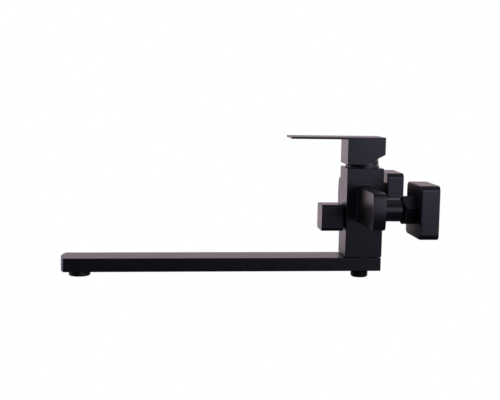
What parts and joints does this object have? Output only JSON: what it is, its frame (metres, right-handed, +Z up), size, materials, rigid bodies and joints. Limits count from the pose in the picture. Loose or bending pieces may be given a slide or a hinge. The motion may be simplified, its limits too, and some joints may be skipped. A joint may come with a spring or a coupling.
{
  "type": "wall mounted bath faucet",
  "caption": "Black wall mounted bath faucet: square tower, top lever, long flat swivel spout, front diverter knob, flat arms to square wall flanges.",
  "frame": {"origin": "on the wall plane, midway between the two inlets' axes and at their height", "axes": "+Y into the wall along the inlets' axes, -Y out along the spout, +X along the wall to the right seen from the room, +Z up"},
  "size_m": [0.21, 0.419, 0.1685],
  "materials": {
    "lacquer": "semi-matt black lacquer on brass",
    "brass": "machined",
    "steel": "turned stainless steel",
    "ceramic": "lapped white ceramic",
    "plastic": "moulded acetal",
    "black_plastic": "moulded black plastic",
    "rubber": "moulded"
  },
  "bodies": {
    "tower": {"body_casting": "lacquer", "dome_cap": "lacquer", "cartridge_nut": "brass", "cartridge_housing": "plastic", "cartridge_base": "plastic", "cartridge_seals": "rubber", "fixed_disc": "ceramic", "diverter_ring": "lacquer", "diverter_valve": "brass", "diverter_stem_seal": "rubber", "diverter_fixed_disc": "ceramic", "spout_washer": "black_plastic", "spout_seals": "rubber", "shower_outlet": "lacquer", "left_inlet_seat": "lacquer", "right_inlet_seat": "lacquer", "left_gasket": "rubber", "right_gasket": "rubber"},
    "lever_swivel": {"cartridge_rotor": "plastic", "stem_pin": "steel"},
    "disc_slider": {"disc_carrier": "plastic", "moving_disc": "ceramic"},
    "lever": {"lever_handle": "lacquer", "lever_stem": "steel", "lever_screw": "steel", "lever_plug": "black_plastic"},
    "knob": {"diverter_knob": "lacquer", "diverter_stem": "brass", "diverter_moving_disc": "ceramic", "knob_screw": "steel"},
    "swivel_spout": {"spout": "lacquer", "slide_washer": "black_plastic", "aerator_housing": "lacquer", "aerator_insert": "plastic", "aerator_washer": "rubber"},
    "left_nut": {"left_coupling_nut": "lacquer"},
    "right_nut": {"right_coupling_nut": "lacquer"},
    "left_flange": {"left_wall_flange": "lacquer"},
    "right_flange": {"right_wall_flange": "lacquer"}
  },
  "joints": [
    {"name": "lever_turn", "type": "hinge", "parent": "tower", "child": "lever_swivel", "pos_m": [0, -0.064, 0.0476], "axis": [0, 0, 1], "range_deg": [-45, 45]},
    {"name": "lever_lift", "type": "hinge", "parent": "lever_swivel", "child": "lever", "pos_m": [0, -0.064, 0.0476], "axis": [-1, 0, 0], "range_deg": [0, 25]},
    {"name": "disc_slide", "type": "slide", "parent": "lever_swivel", "child": "disc_slider", "axis": [0, -1, 0], "range_m": [0, 0.0043]},
    {"name": "knob_turn", "type": "hinge", "parent": "tower", "child": "knob", "pos_m": [0, -0.1, -0.0178], "axis": [0, 1, 0], "range_deg": [0, 90]},
    {"name": "spout_swivel", "type": "hinge", "parent": "tower", "child": "swivel_spout", "pos_m": [0, -0.064, -0.0724], "axis": [0, 0, 1], "range_deg": [-90, 90]},
    {"name": "left_nut_spin", "type": "hinge", "parent": "tower", "child": "left_nut", "pos_m": [-0.075, -0.026, 0], "axis": [0, 1, 0], "continuous": true},
    {"name": "right_nut_spin", "type": "hinge", "parent": "tower", "child": "right_nut", "pos_m": [0.075, -0.026, 0], "axis": [0, 1, 0], "continuous": true},
    {"name": "left_flange_slide", "type": "slide", "parent": "tower", "child": "left_flange", "axis": [0, -1, 0], "range_m": [0, 0.03]},
    {"name": "right_flange_slide", "type": "slide", "parent": "tower", "child": "right_flange", "axis": [0, -1, 0], "range_m": [0, 0.03]}
  ],
  "couplings": [
    {"joint": "disc_slide", "follows": "lever_lift", "m_per_rad": 0.0098}
  ]
}
